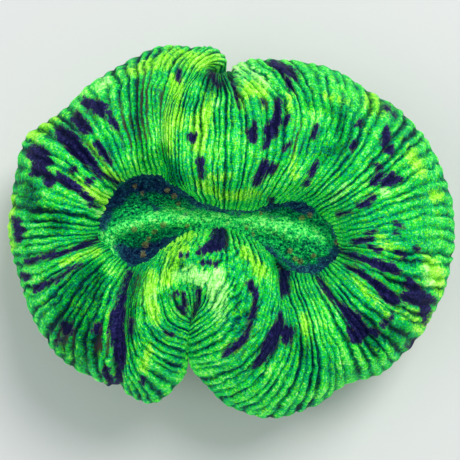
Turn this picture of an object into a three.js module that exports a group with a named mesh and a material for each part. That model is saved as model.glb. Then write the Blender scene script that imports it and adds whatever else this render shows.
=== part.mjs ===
// Folded brain coral: a pillow of ribbed flesh round a winding valley, on the short stub of its
// own stony skeleton. It grew as one piece, so it is one solid, cut off flat at the foot.
// Millimetres, +Z up. The origin is the middle of the flat cut that it rests on.
import * as THREE from "three";
import { mergeVertices } from "three/addons/utils/BufferGeometryUtils.js";

// Driving dimensions.
const FOOT = { halfX: 13, halfY: 10.5 }; // the flat cut, an ellipse
const CROWN_Z = 28.5; // top of the flesh beside the valley, away from the two lobes
const BACK_LOBE_RISE = 3; // the lobe at the middle of the +Y side
const FRONT_LOBE_RISE = 5; // the lobe at the middle of the -Y side
const MARGIN_Z = 14; // widest level of the flesh, where its outline is listed
const LIP_Z = 7; // lowest hem of the flesh
const BORDER_Z = 21; // foot of the valley's walls
const MIDRIB_RISE = 1; // the valley's raised middle, above the foot of its walls
const CROWN_AT = 0.36; // share of a rib, from the valley, at which it is highest
const WALL_POWER = 2.3; // higher makes the valley's walls steeper
const FALL = { power: 2.2, root: 0.7 }; // how the flesh rounds over from crown to margin
const NARROW = 3; // the valley floor lies flat where its half width is well under this
const COLUMNS_PER_RIB = 2; // facets round the coral for each listed rib
const WELD = 1e-4; // points nearer than this are one point

// The ribs fan out like the spokes of a dome. Each is listed as it meets the level MARGIN_Z when
// it is drawn out from APEX, so a rib point that stands higher lies nearer to the line up to APEX.
const APEX = new THREE.Vector3(-0.15, -29.9, 187.2);

// One rib a line, clockwise from the -X end: [valley border, one third, two thirds, margin], X then Y.
const RIBS = [
  [-20.0, 0.5, -24.5, 1.0, -29.5, 1.4, -34.0, 1.2],
  [-19.5, 3.0, -23.6, 4.6, -28.6, 6.4, -33.3, 7.8],
  [-18.3, 5.2, -22.0, 7.9, -26.8, 11.6, -31.8, 14.6],
  [-17.0, 6.9, -19.8, 10.2, -23.5, 14.8, -27.0, 17.9],
  [-15.6, 8.0, -17.3, 11.8, -19.6, 18.0, -21.8, 23.1],
  [-13.8, 8.7, -14.8, 13.2, -16.0, 20.6, -16.4, 26.7],
  [-11.6, 8.7, -12.8, 14.3, -13.2, 22.3, -11.0, 29.1],
  [-9.6, 7.5, -11.2, 14.8, -10.3, 23.2, -6.0, 29.0],
  [-7.9, 6.2, -10.1, 14.3, -8.4, 23.2, -2.6, 28.9],
  [-6.4, 5.2, -8.7, 13.4, -6.9, 23.0, -0.8, 26.8],
  [-5.0, 4.4, -6.6, 12.4, -5.6, 21.5, -3.2, 25.3],
  [-3.0, 3.6, -3.6, 11.2, -3.2, 19.5, -2.4, 24.9],
  [-1.0, 3.2, -0.9, 10.2, -0.6, 18.4, -1.6, 24.8], // middle of the back fold
  [0.8, 3.1, 2.0, 9.8, 2.4, 18.2, -0.9, 25.0],
  [2.6, 3.2, 5.0, 10.2, 5.6, 18.6, -0.2, 25.6],
  [4.5, 3.7, 8.0, 10.4, 9.8, 18.6, 3.4, 27.1],
  [6.5, 4.4, 10.6, 9.8, 13.0, 18.2, 9.3, 27.0],
  [8.7, 4.7, 13.2, 9.2, 16.8, 17.2, 15.8, 25.4],
  [10.9, 4.5, 15.9, 8.8, 20.3, 15.8, 21.4, 21.9],
  [12.8, 3.5, 18.3, 7.3, 24.0, 13.2, 27.2, 18.1],
  [14.3, 2.2, 20.3, 5.3, 26.5, 9.6, 31.2, 12.6],
  [15.5, 0.7, 21.3, 2.6, 27.8, 5.2, 33.4, 6.0],
  [16.2, -1.0, 22.0, -0.6, 28.3, 0.2, 34.0, -0.3], // the +X end
  [16.5, -2.8, 21.8, -3.8, 27.7, -5.0, 33.3, -5.6],
  [16.0, -4.6, 20.5, -7.0, 26.0, -10.0, 31.4, -11.0],
  [14.8, -5.9, 18.8, -9.8, 23.6, -14.0, 27.7, -16.6],
  [13.2, -6.7, 16.6, -11.4, 20.2, -16.8, 22.6, -21.4],
  [11.5, -7.0, 14.0, -12.4, 16.3, -18.4, 17.0, -23.4],
  [9.8, -6.6, 11.7, -12.5, 13.2, -20.0, 12.0, -26.7],
  [8.3, -5.6, 9.9, -12.6, 10.0, -20.8, 5.5, -28.1],
  [7.0, -4.4, 8.7, -12.0, 6.9, -20.8, -0.2, -26.3],
  [5.6, -3.1, 7.5, -11.2, 4.1, -19.6, -3.8, -23.3],
  [4.0, -1.8, 5.8, -9.5, 1.9, -17.4, -6.2, -20.3],
  [2.0, -0.8, 3.5, -7.2, 0.2, -13.6, -6.3, -17.6],
  [-0.2, 0.0, 0.7, -5.0, -1.4, -10.7, -6.2, -15.3],
  [-2.6, 0.3, -2.6, -3.8, -3.4, -8.5, -5.6, -13.5],
  [-5.0, 0.0, -5.9, -4.0, -6.3, -8.4, -5.9, -12.8], // inner end of the front fold
  [-7.2, -0.8, -9.0, -4.9, -9.4, -10.2, -6.3, -14.2],
  [-9.0, -1.9, -11.2, -6.4, -11.3, -12.0, -6.6, -16.2],
  [-10.5, -3.1, -13.0, -8.0, -12.7, -14.6, -6.8, -18.6],
  [-11.8, -4.2, -14.2, -9.2, -14.0, -17.2, -7.3, -22.2],
  [-13.1, -5.1, -15.3, -10.4, -15.6, -18.8, -11.5, -26.0],
  [-14.6, -5.6, -17.0, -11.0, -17.8, -18.2, -16.4, -24.2],
  [-16.2, -5.1, -19.6, -10.7, -21.7, -17.0, -21.2, -22.1],
  [-17.5, -4.1, -21.8, -8.9, -25.2, -14.2, -26.6, -18.5],
  [-18.5, -3.0, -23.3, -6.5, -27.3, -10.5, -30.0, -13.3],
  [-19.3, -1.9, -24.4, -4.0, -28.7, -6.2, -32.2, -7.4],
  [-19.9, -0.8, -25.0, -1.6, -29.5, -2.4, -33.4, -2.6],
];

const BACK_LOBE = 12; // ribs at the middle of each lobe and fold
const FRONT_LOBE = 36;
const BACK_FOLD = { rib: 11.8, halfWidth: 2, rise: 11 }; // the margin climbs into the folds
const FRONT_FOLD = { rib: 36, halfWidth: 4.2, rise: 12.5 };
const LOBE_HALF_WIDTH = 5;
const PAIR_SUM = RIBS.length - 1; // ribs i and PAIR_SUM - i face each other across the valley

// Which way the foot of each rib points: [rib, degrees], anticlockwise positive.
const FOOT_ANGLES = [
  [0, 180], [6, 126], [12, 97], [18, 47], [22, 0], [26, -42], [30, -80], [36, -115], [42, -146], [48, -180],
];

// How deep the valley sinks between the foot of its wall and its midrib: [rib, depth].
const TRENCHES = [
  [0, 0.4], [1.5, 2.6], [3, 3.4], [6, 3.6], [8, 3], [10, 3], [11, 5], [14, 5.5], [15.5, 2.6], [17, 2.2],
  [19, 2.2], [20.5, 1], [22, 1.4], [24, 1.8], [26, 1.2], [28, 0.8], [33, 0.8], [36, 1], [38, 2.4],
  [39.5, 3.8], [42, 3.8], [43.5, 2], [44.5, 0.4], [48, 0.4],
];

const lerp = THREE.MathUtils.lerp;
const ribCount = RIBS.length;

/** The value at a rib of a list of [rib, value] pairs, straight between them. */
function alongRibs(pairs, rib) {
  const next = pairs.findIndex((pair) => pair[0] > rib);
  const [[rib0, value0], [rib1, value1]] = pairs.slice(next - 1, next + 1);
  return lerp(value0, value1, (rib - rib0) / (rib1 - rib0));
}

/** Signed distance in ribs from rib to centre, the short way round. */
function ribsApart(rib, centre) {
  return THREE.MathUtils.euclideanModulo(rib - centre + ribCount / 2, ribCount) - ribCount / 2;
}

function swell(rib, centre, halfWidth, power) {
  return Math.exp(-((Math.abs(ribsApart(rib, centre)) / halfWidth) ** power));
}

function crownZ(rib) {
  const back = BACK_LOBE_RISE * swell(rib, BACK_LOBE, LOBE_HALF_WIDTH, 2);
  const front = FRONT_LOBE_RISE * swell(rib, FRONT_LOBE, LOBE_HALF_WIDTH, 2);
  return CROWN_Z + back + front;
}

function marginZ(rib) {
  const back = BACK_FOLD.rise * swell(rib, BACK_FOLD.rib, BACK_FOLD.halfWidth, 4);
  const front = FRONT_FOLD.rise * swell(rib, FRONT_FOLD.rib, FRONT_FOLD.halfWidth, 4);
  return MARGIN_Z + back + front;
}

/** Catmull-Rom through four numbers, between the middle two. */
function between(a, b, c, d, t) {
  return b + 0.5 * t * (c - a + t * (2 * a - 5 * b + 4 * c - d + t * (3 * (b - c) + d - a)));
}

/** One listed number, by its place in a rib's line, at any rib position round the coral. */
function listed(rib, place) {
  const first = Math.floor(rib);
  const at = (i) => RIBS[THREE.MathUtils.euclideanModulo(i, ribCount)][place];
  return between(at(first - 1), at(first), at(first + 1), at(first + 2), rib - first);
}

/** A listed plan point carried to height z along its line to APEX. */
function lift(x, y, z) {
  const share = (APEX.z - z) / (APEX.z - MARGIN_Z);
  return new THREE.Vector3(lerp(APEX.x, x, share), lerp(APEX.y, y, share), z);
}

/** The cubic through a rib's four listed points, at s from 0 (valley) to 1 (margin). */
function ribPlan(rib, s) {
  const weights = [
    (-9 / 2) * (s - 1 / 3) * (s - 2 / 3) * (s - 1),
    (27 / 2) * s * (s - 2 / 3) * (s - 1),
    (-27 / 2) * s * (s - 1 / 3) * (s - 1),
    (9 / 2) * s * (s - 1 / 3) * (s - 2 / 3),
  ];
  let x = 0;
  let y = 0;
  weights.forEach((weight, k) => {
    x += weight * listed(rib, 2 * k);
    y += weight * listed(rib, 2 * k + 1);
  });
  return { x, y };
}

/** Height along a rib: a steep wall out of the valley, a broad crown, then a fall to the margin. */
function ribZ(rib, s) {
  const top = crownZ(rib);
  if (s < CROWN_AT) return lerp(BORDER_Z, top, 1 - (1 - s / CROWN_AT) ** WALL_POWER);
  const fall = (s - CROWN_AT) / (1 - CROWN_AT);
  return lerp(marginZ(rib), top, (1 - fall ** FALL.power) ** FALL.root);
}

function fleshPoint(rib, s) {
  const plan = ribPlan(rib, s);
  return lift(plan.x, plan.y, ribZ(rib, s));
}

/** The valley's floor, at t from 0 (foot of the wall) to 1 (midrib). */
function floorPoint(rib, t) {
  const near = ribPlan(rib, 0);
  const far = ribPlan(PAIR_SUM - rib, 0);
  const halfWidth = 0.5 * Math.hypot(far.x - near.x, far.y - near.y);
  const room = 1 - Math.exp(-((halfWidth / NARROW) ** 2));
  const trench = 6.75 * t * (1 - t) ** 2; // 1 where it is deepest, a third of the way to the midrib
  const z = BORDER_Z + room * (MIDRIB_RISE * t * (2 - t) - alongRibs(TRENCHES, rib) * trench);
  return lift(lerp(near.x, far.x, t / 2), lerp(near.y, far.y, t / 2), z);
}

function footPoint(rib) {
  const angle = THREE.MathUtils.degToRad(alongRibs(FOOT_ANGLES, rib));
  return new THREE.Vector3(FOOT.halfX * Math.cos(angle), FOOT.halfY * Math.sin(angle), 0);
}

/** Below the margin: inward is the share of the way to the foot. */
function underPoint(rib, inward, z) {
  const margin = fleshPoint(rib, 1);
  const foot = footPoint(rib);
  return new THREE.Vector3(lerp(margin.x, foot.x, inward), lerp(margin.y, foot.y, inward), z);
}

/**
 * All the points of one column, from the valley's midrib over the flesh and down to the cut. The
 * hem lists [inward, drop]: shares of the way in to the foot and of the drop from margin to lip.
 * The underside and the stub list [inward, height].
 */
function columnPoints(rib) {
  const floor = [1, 0.75, 0.4, 0.12].map((t) => floorPoint(rib, t));
  const flesh = [0, 0.03, 0.09, 0.18, 0.27, 0.36, 0.5, 0.64, 0.77, 0.88, 0.96, 1];
  const hem = [[0.014, 0.4], [0.045, 0.7], [0.11, 0.94]];
  const hemPoints = hem.map(([inward, drop]) => [inward, lerp(marginZ(rib), LIP_Z, drop)]);
  const under = [[0.17, LIP_Z], [0.24, LIP_Z + 0.5], [0.33, LIP_Z + 1.8], [0.43, LIP_Z + 1.2]];
  const stub = [[0.62, 5], [0.84, 2.2], [1, 0]];
  return [
    ...floor,
    ...flesh.map((s) => fleshPoint(rib, s)),
    ...[...hemPoints, ...under, ...stub].map(([inward, z]) => underPoint(rib, inward, z)),
    new THREE.Vector3(0, 0, 0),
  ];
}

/** Joins the columns into one closed skin. Facing columns share their midrib points. */
function coralGeometry() {
  const columnCount = ribCount * COLUMNS_PER_RIB;
  const columns = Array.from({ length: columnCount }, (_, i) => columnPoints(i / COLUMNS_PER_RIB));
  const rowCount = columns[0].length;
  const index = [];
  for (let column = 0; column < columnCount; column += 1) {
    const here = column * rowCount;
    const next = ((column + 1) % columnCount) * rowCount;
    for (let row = 0; row < rowCount - 1; row += 1) {
      index.push(here + row, next + row, next + row + 1);
      index.push(here + row, next + row + 1, here + row + 1);
    }
  }
  const geometry = new THREE.BufferGeometry().setFromPoints(columns.flat());
  geometry.setIndex(index);
  return withoutSlivers(mergeVertices(geometry, WELD));
}

/** Drops the triangles that closed up to a line where points were merged. */
function withoutSlivers(geometry) {
  const index = Array.from(geometry.index.array);
  const kept = [];
  for (let i = 0; i < index.length; i += 3) {
    const [a, b, c] = index.slice(i, i + 3);
    if (a !== b && b !== c && c !== a) kept.push(a, b, c);
  }
  geometry.setIndex(kept);
  geometry.computeVertexNormals();
  return geometry;
}

const flesh = new THREE.MeshStandardMaterial({ color: 0x24b43c, roughness: 0.5, metalness: 0 });
const coral = new THREE.Mesh(coralGeometry(), flesh);
coral.name = "coral";

const part = new THREE.Group();
part.add(coral);

export default part;
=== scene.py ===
# Looks of the folded brain coral: ribbed flesh, granular valley floor and skeleton stub, each a
# mesh worked out from the same ribs as the CAD solid, then displaced along its normals.
# Lengths are millimetres in the row frame until a mesh is written, in metres.
import math
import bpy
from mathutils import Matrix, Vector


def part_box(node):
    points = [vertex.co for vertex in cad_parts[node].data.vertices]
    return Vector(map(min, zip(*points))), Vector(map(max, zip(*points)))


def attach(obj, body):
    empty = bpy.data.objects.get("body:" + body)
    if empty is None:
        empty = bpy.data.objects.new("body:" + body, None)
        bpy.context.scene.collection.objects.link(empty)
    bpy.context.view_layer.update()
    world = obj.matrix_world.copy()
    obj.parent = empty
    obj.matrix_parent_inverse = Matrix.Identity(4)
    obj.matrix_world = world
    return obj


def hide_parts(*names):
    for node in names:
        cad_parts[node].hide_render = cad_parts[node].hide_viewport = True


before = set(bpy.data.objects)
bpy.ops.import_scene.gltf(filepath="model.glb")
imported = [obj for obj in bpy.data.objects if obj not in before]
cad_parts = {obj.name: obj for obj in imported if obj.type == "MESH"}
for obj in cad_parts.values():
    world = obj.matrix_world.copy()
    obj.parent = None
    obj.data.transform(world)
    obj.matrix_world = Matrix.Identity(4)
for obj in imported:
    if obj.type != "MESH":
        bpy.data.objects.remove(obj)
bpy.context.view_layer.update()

from types import SimpleNamespace

import bpy
import numpy as np

MM = 0.001

# ---------------------------------------------------------------- driving dimensions, as in the CAD
LOW, HIGH = (np.array(corner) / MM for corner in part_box("coral"))
FRONT_LOBE_RISE = 5.0
BACK_LOBE_RISE = 3.0
CROWN_Z = HIGH[2] - FRONT_LOBE_RISE
MARGIN_Z = 14.0
LIP_Z = 7.0
BORDER_Z = 21.0
MIDRIB_RISE = 1.0
CROWN_AT = 0.36                  # share of a rib at which it is highest
WALL_POWER = 2.3
FALL_POWER, FALL_ROOT = 2.2, 0.7
NARROW = 3.0                     # the valley floor lies flat where its half width is well under this
FOOT_HALF = (13.0, 10.5)
APEX = np.array([-0.15, -29.9, 187.2])
BACK_LOBE, FRONT_LOBE, LOBE_HALF_WIDTH = 12.0, 36.0, 5.0
BACK_FOLD = (11.8, 2.0, 11.0)    # rib, half width in ribs, rise of the margin
FRONT_FOLD = (36.0, 4.2, 12.5)

# One rib a line, clockwise from the -X end: valley border, one third, two thirds, margin, X then Y,
# at the level MARGIN_Z when drawn out from APEX.
RIBS = np.array([
    [-20.0, 0.5, -24.5, 1.0, -29.5, 1.4, -34.0, 1.2],
    [-19.5, 3.0, -23.6, 4.6, -28.6, 6.4, -33.3, 7.8],
    [-18.3, 5.2, -22.0, 7.9, -26.8, 11.6, -31.8, 14.6],
    [-17.0, 6.9, -19.8, 10.2, -23.5, 14.8, -27.0, 17.9],
    [-15.6, 8.0, -17.3, 11.8, -19.6, 18.0, -21.8, 23.1],
    [-13.8, 8.7, -14.8, 13.2, -16.0, 20.6, -16.4, 26.7],
    [-11.6, 8.7, -12.8, 14.3, -13.2, 22.3, -11.0, 29.1],
    [-9.6, 7.5, -11.2, 14.8, -10.3, 23.2, -6.0, 29.0],
    [-7.9, 6.2, -10.1, 14.3, -8.4, 23.2, -2.6, 28.9],
    [-6.4, 5.2, -8.7, 13.4, -6.9, 23.0, -0.8, 26.8],
    [-5.0, 4.4, -6.6, 12.4, -5.6, 21.5, -3.2, 25.3],
    [-3.0, 3.6, -3.6, 11.2, -3.2, 19.5, -2.4, 24.9],
    [-1.0, 3.2, -0.9, 10.2, -0.6, 18.4, -1.6, 24.8],
    [0.8, 3.1, 2.0, 9.8, 2.4, 18.2, -0.9, 25.0],
    [2.6, 3.2, 5.0, 10.2, 5.6, 18.6, -0.2, 25.6],
    [4.5, 3.7, 8.0, 10.4, 9.8, 18.6, 3.4, 27.1],
    [6.5, 4.4, 10.6, 9.8, 13.0, 18.2, 9.3, 27.0],
    [8.7, 4.7, 13.2, 9.2, 16.8, 17.2, 15.8, 25.4],
    [10.9, 4.5, 15.9, 8.8, 20.3, 15.8, 21.4, 21.9],
    [12.8, 3.5, 18.3, 7.3, 24.0, 13.2, 27.2, 18.1],
    [14.3, 2.2, 20.3, 5.3, 26.5, 9.6, 31.2, 12.6],
    [15.5, 0.7, 21.3, 2.6, 27.8, 5.2, 33.4, 6.0],
    [16.2, -1.0, 22.0, -0.6, 28.3, 0.2, 34.0, -0.3],
    [16.5, -2.8, 21.8, -3.8, 27.7, -5.0, 33.3, -5.6],
    [16.0, -4.6, 20.5, -7.0, 26.0, -10.0, 31.4, -11.0],
    [14.8, -5.9, 18.8, -9.8, 23.6, -14.0, 27.7, -16.6],
    [13.2, -6.7, 16.6, -11.4, 20.2, -16.8, 22.6, -21.4],
    [11.5, -7.0, 14.0, -12.4, 16.3, -18.4, 17.0, -23.4],
    [9.8, -6.6, 11.7, -12.5, 13.2, -20.0, 12.0, -26.7],
    [8.3, -5.6, 9.9, -12.6, 10.0, -20.8, 5.5, -28.1],
    [7.0, -4.4, 8.7, -12.0, 6.9, -20.8, -0.2, -26.3],
    [5.6, -3.1, 7.5, -11.2, 4.1, -19.6, -3.8, -23.3],
    [4.0, -1.8, 5.8, -9.5, 1.9, -17.4, -6.2, -20.3],
    [2.0, -0.8, 3.5, -7.2, 0.2, -13.6, -6.3, -17.6],
    [-0.2, 0.0, 0.7, -5.0, -1.4, -10.7, -6.2, -15.3],
    [-2.6, 0.3, -2.6, -3.8, -3.4, -8.5, -5.6, -13.5],
    [-5.0, 0.0, -5.9, -4.0, -6.3, -8.4, -5.9, -12.8],
    [-7.2, -0.8, -9.0, -4.9, -9.4, -10.2, -6.3, -14.2],
    [-9.0, -1.9, -11.2, -6.4, -11.3, -12.0, -6.6, -16.2],
    [-10.5, -3.1, -13.0, -8.0, -12.7, -14.6, -6.8, -18.6],
    [-11.8, -4.2, -14.2, -9.2, -14.0, -17.2, -7.3, -22.2],
    [-13.1, -5.1, -15.3, -10.4, -15.6, -18.8, -11.5, -26.0],
    [-14.6, -5.6, -17.0, -11.0, -17.8, -18.2, -16.4, -24.2],
    [-16.2, -5.1, -19.6, -10.7, -21.7, -17.0, -21.2, -22.1],
    [-17.5, -4.1, -21.8, -8.9, -25.2, -14.2, -26.6, -18.5],
    [-18.5, -3.0, -23.3, -6.5, -27.3, -10.5, -30.0, -13.3],
    [-19.3, -1.9, -24.4, -4.0, -28.7, -6.2, -32.2, -7.4],
    [-19.9, -0.8, -25.0, -1.6, -29.5, -2.4, -33.4, -2.6],
]).reshape(-1, 4, 2)
RIB_COUNT = len(RIBS)
PAIR_SUM = RIB_COUNT - 1         # ribs i and PAIR_SUM - i face each other across the valley
FOOT_ANGLES = np.array([
    [0, 180], [6, 126], [12, 97], [18, 47], [22, 0], [26, -42], [30, -80], [36, -115], [42, -146],
    [48, -180],
])
# How deep the valley sinks between the foot of its wall and its midrib: rib, depth.
TRENCHES = np.array([
    [0, 0.4], [1.5, 2.6], [3, 3.4], [6, 3.6], [8, 3], [10, 3], [11, 5], [14, 5.5], [15.5, 2.6], [17, 2.2],
    [19, 2.2], [20.5, 1], [22, 1.4], [24, 1.8], [26, 1.2], [28, 0.8], [33, 0.8], [36, 1], [38, 2.4],
    [39.5, 3.8], [42, 3.8], [43.5, 2], [44.5, 0.4], [48, 0.4],
])

# ---------------------------------------------------------------- detail of the flesh
RIDGES_PER_RIB = 3
RIDGES = RIDGES_PER_RIB * RIB_COUNT
COLUMNS_PER_RIDGE = 8
FLESH_ROWS = 79
HEM_ROWS = 26
FINE_STEPS = 400                 # for measuring a path before its rows are spaced evenly on it
TRIAL_COLUMNS = 60               # for measuring the mean path of the flesh
WELD_DECIMALS = 4
RIDGE_HEIGHT = 0.68              # of the widest ridges, crest to groove
SEED = 7


# ================================================================ small maths
def smooth(low, high, x):
    """0 below low, 1 above high, an S between."""
    t = np.clip((x - low) / (high - low), 0.0, 1.0)
    return t * t * (3.0 - 2.0 * t)


def mix(a, b, t):
    return a + (b - a) * t


def swell(rib, centre, half_width, power):
    apart = np.mod(rib - centre + RIB_COUNT / 2, RIB_COUNT) - RIB_COUNT / 2
    return np.exp(-(np.abs(apart) / half_width) ** power)


def lattice(corner, seed):
    """A repeatable random number from 0 to 1 for each whole-numbered corner."""
    x, y, z = (corner[..., k].astype(np.int64).astype(np.uint64) for k in range(3))
    h = x * np.uint64(73856093) ^ y * np.uint64(19349663) ^ z * np.uint64(83492791)
    h = (h ^ np.uint64(seed * 2654435761)) & np.uint64(0xFFFFFFFF)
    h = ((h ^ (h >> np.uint64(15))) * np.uint64(2246822519)) & np.uint64(0xFFFFFFFF)
    h = ((h ^ (h >> np.uint64(13))) * np.uint64(3266489917)) & np.uint64(0xFFFFFFFF)
    return ((h ^ (h >> np.uint64(16))) & np.uint64(0xFFFFFF)).astype(float) / 0xFFFFFF


def noise(points, cell, seed):
    """Smooth random values from -1 to 1 at points (..., 3), about one wave per two cells."""
    scaled = points / cell
    corner = np.floor(scaled)
    t = scaled - corner
    t = t * t * (3.0 - 2.0 * t)
    total = 0.0
    for dx in (0, 1):
        for dy in (0, 1):
            for dz in (0, 1):
                weight = np.abs(1 - dx - t[..., 0]) * np.abs(1 - dy - t[..., 1])
                weight = weight * np.abs(1 - dz - t[..., 2])
                total = total + weight * lattice(corner + (dx, dy, dz), seed)
    return 2.0 * total - 1.0


def fractal(points, cell, seed, octaves=3):
    layers = [noise(points, cell / 2 ** k, seed + k) / 2 ** k for k in range(octaves)]
    return sum(layers) / 1.5


# ================================================================ the coral's smooth shape
def at_rib(rib):
    """The four listed points of a rib at any rib position: Catmull-Rom round the coral."""
    first = np.floor(rib).astype(int)
    t = (rib - first)[:, None, None]
    a, b, c, d = (RIBS[(first + k) % RIB_COUNT] for k in (-1, 0, 1, 2))
    return b + 0.5 * t * (c - a + t * (2 * a - 5 * b + 4 * c - d + t * (3 * (b - c) + d - a)))


def rib_plan(rib, s):
    """Plan points, one row of the result for each rib position and one column for each s."""
    weights = np.stack([
        -9 / 2 * (s - 1 / 3) * (s - 2 / 3) * (s - 1),
        27 / 2 * s * (s - 2 / 3) * (s - 1),
        -27 / 2 * s * (s - 1 / 3) * (s - 1),
        9 / 2 * s * (s - 1 / 3) * (s - 2 / 3),
    ], axis=-1)
    return np.einsum("rkc,sk->rsc", at_rib(rib), weights)


def crown_z(rib):
    back = BACK_LOBE_RISE * swell(rib, BACK_LOBE, LOBE_HALF_WIDTH, 2)
    return CROWN_Z + back + FRONT_LOBE_RISE * swell(rib, FRONT_LOBE, LOBE_HALF_WIDTH, 2)


def margin_z(rib):
    folds = [rise * swell(rib, at, width, 4) for at, width, rise in (BACK_FOLD, FRONT_FOLD)]
    return MARGIN_Z + sum(folds)


def rib_z(rib, s):
    """Height of the smooth flesh at s along a rib, from 0 at the valley to 1 at the margin."""
    top = crown_z(rib)[:, None]
    wall = mix(BORDER_Z, top, 1 - (1 - np.clip(s / CROWN_AT, 0, 1)) ** WALL_POWER)
    fall = np.clip((s - CROWN_AT) / (1 - CROWN_AT), 0, 1)
    outer = mix(margin_z(rib)[:, None], top, (1 - fall ** FALL_POWER) ** FALL_ROOT)
    return np.where(s < CROWN_AT, wall, outer)


def lift(plan, z):
    """Plan points at the level MARGIN_Z carried to height z along their lines to APEX."""
    share = ((APEX[2] - z) / (APEX[2] - MARGIN_Z))[..., None]
    return np.concatenate([mix(APEX[:2], plan, share), z[..., None]], axis=-1)


def foot_points(rib):
    angle = np.radians(np.interp(np.mod(rib, RIB_COUNT), FOOT_ANGLES[:, 0], FOOT_ANGLES[:, 1]))
    return np.stack([FOOT_HALF[0] * np.cos(angle), FOOT_HALF[1] * np.sin(angle)], axis=-1)


def under_points(rib, inward, z):
    """Points below the margin: inward is the share of the way in to the foot."""
    margin = lift(rib_plan(rib, np.array([1.0])), margin_z(rib)[:, None])[:, 0, :2]
    plan = mix(margin[:, None, :], foot_points(rib)[:, None, :], inward[None, :, None])
    height = np.broadcast_to(z, plan.shape[:2])
    return np.concatenate([plan, height[..., None]], axis=-1)


def even_steps(points, count):
    """Positions, as shares of the rows given, that are evenly far apart on the mean column."""
    steps = np.linalg.norm(np.diff(points, axis=1), axis=-1).mean(axis=0)
    run = np.concatenate([[0.0], np.cumsum(steps)])
    return np.interp(np.linspace(0, run[-1], count), run, np.linspace(0, 1, len(run)))


def flesh_grid(rib):
    """Rows from the valley border over the crown to the margin."""
    trial = np.linspace(0, 1, FINE_STEPS)
    few = rib[:: len(rib) // TRIAL_COLUMNS]
    s = even_steps(lift(rib_plan(few, trial), rib_z(few, trial)), FLESH_ROWS)
    plan = rib_plan(rib, s)
    return s, plan, lift(plan, rib_z(rib, s))


# The hem, from the margin back under the flesh: share of the way in to the foot, share of the drop.
HEM_INWARD = [0, 0.004, 0.014, 0.034, 0.065, 0.11, 0.17, 0.23, 0.30, 0.37, 0.46]
HEM_DROP = [0, 0.2, 0.40, 0.62, 0.80, 0.94, 1.0, 0.95, 0.83, 0.72, 0.7]


def hem_grid(rib):
    """Rows from just below the margin round the hem and back under the flesh."""
    share = np.linspace(0, 1, len(HEM_INWARD))
    margin = margin_z(rib)[:, None]

    def path(t):
        z = mix(margin, LIP_Z, np.interp(t, share, HEM_DROP)[None, :])
        return under_points(rib, np.interp(t, share, HEM_INWARD), z)

    return path(even_steps(path(np.linspace(0, 1, FINE_STEPS)), HEM_ROWS + 1)[1:])


def grid_normals(points):
    """Unit outward normals of a grid: first axis clockwise round the coral, second from the valley out."""
    across = np.roll(points, -1, axis=0) - np.roll(points, 1, axis=0)
    normal = np.cross(across, np.gradient(points, axis=1))
    return normal / np.maximum(np.linalg.norm(normal, axis=-1, keepdims=True), 1e-9)


# ================================================================ ridges
def ridge_phase(x, rng):
    """Ridge number and place in the ridge (0 to 1) at x ridges round the coral, unevenly wide."""
    bounds = np.arange(RIDGES + 1) + np.append(rng.uniform(-0.24, 0.24, RIDGES), 0.0)
    bounds[-1] = bounds[0] + RIDGES
    turned = np.mod(x - bounds[0], RIDGES) + bounds[0]
    number = np.clip(np.searchsorted(bounds, turned, side="right") - 1, 0, RIDGES - 1)
    place = (turned - bounds[number]) / (bounds[number + 1] - bounds[number])
    return number, place


def ridge_profile(place, sharpness):
    """1 on the crest, 0 in the grooves at both ends of a ridge."""
    return (0.5 - 0.5 * np.cos(2 * np.pi * place)) ** sharpness


def flesh_relief(rib, s, points, plan, lengths):
    """How far each point of the flesh and hem stands out, how high it is on its ridge, and its place
    in ridges round the coral and millimetres along them."""
    rng = np.random.default_rng(SEED)
    across = np.roll(points, -1, axis=0) - np.roll(points, 1, axis=0)
    ridge_width = np.linalg.norm(across, axis=-1) / 2 * COLUMNS_PER_RIDGE
    rough = flesh_roughness(rib, s)
    wobble = 0.34 * noise(points, 3.4, 21) + 0.16 * noise(points, 1.2, 22) + 0.10 * noise(points, 0.5, 23)
    wobble = wobble * (1 + 2.2 * rough) * np.clip(1.3 / ridge_width, 0.35, 1.0)
    x = rib[:, None] * RIDGES_PER_RIB + wobble
    number, place = ridge_phase(x, rng)
    place = place ** rng.uniform(0.62, 1.5, RIDGES)[number]
    groove = rng.uniform(0.5, 1.0, RIDGES + 1)
    depth = np.where(place < 0.5, groove[number], groove[number + 1])
    depth = depth * (0.95 + 0.4 * noise(points, 3.0, 24))
    level = 1.0 - depth * np.abs(2 * place - 1) ** 1.6
    level = level + rough * (0.45 * (0.7 - level) + 0.45 * fractal(points, 0.9, 35, 2))
    height = np.minimum(RIDGE_HEIGHT, 0.52 * ridge_width) * flesh_calm(rib, s)
    flow = np.stack([x, lengths, np.zeros_like(x)], axis=-1)
    panels = 0.20 * noise(flow / (2.3, 5.5, 1), 1.0, 25) + 0.10 * noise(flow / (1.0, 2.6, 1), 1.0, 26)
    bars = 0.05 * noise(flow / (0.8, 0.36, 1), 1.0, 27)
    broad = 0.34 * fractal(points, 5.5, 31, 2)
    grain = 0.07 * noise(points, 0.55, 32) + 0.05 * noise(points, 0.27, 33)
    wrinkles = 0.32 * fractal(points, 1.1, 34, 3) * rough
    relief = height * (1 - 0.35 * rough) * (level - 0.6) + wrinkles
    relief = relief + (panels + bars + grain) * flesh_calm(rib, s) + broad
    return relief - creases(plan), level, flow


def flesh_roughness(rib, s):
    """1 on the top of the front lobe, where the ridges are broken and wrinkled, and 0 elsewhere."""
    share = np.concatenate([s, np.ones(HEM_ROWS)])[None, :]
    return swell(rib, FRONT_LOBE, 5.2, 3)[:, None] * smooth(0.12, 0.3, share) * smooth(0.85, 0.6, share)


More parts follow.
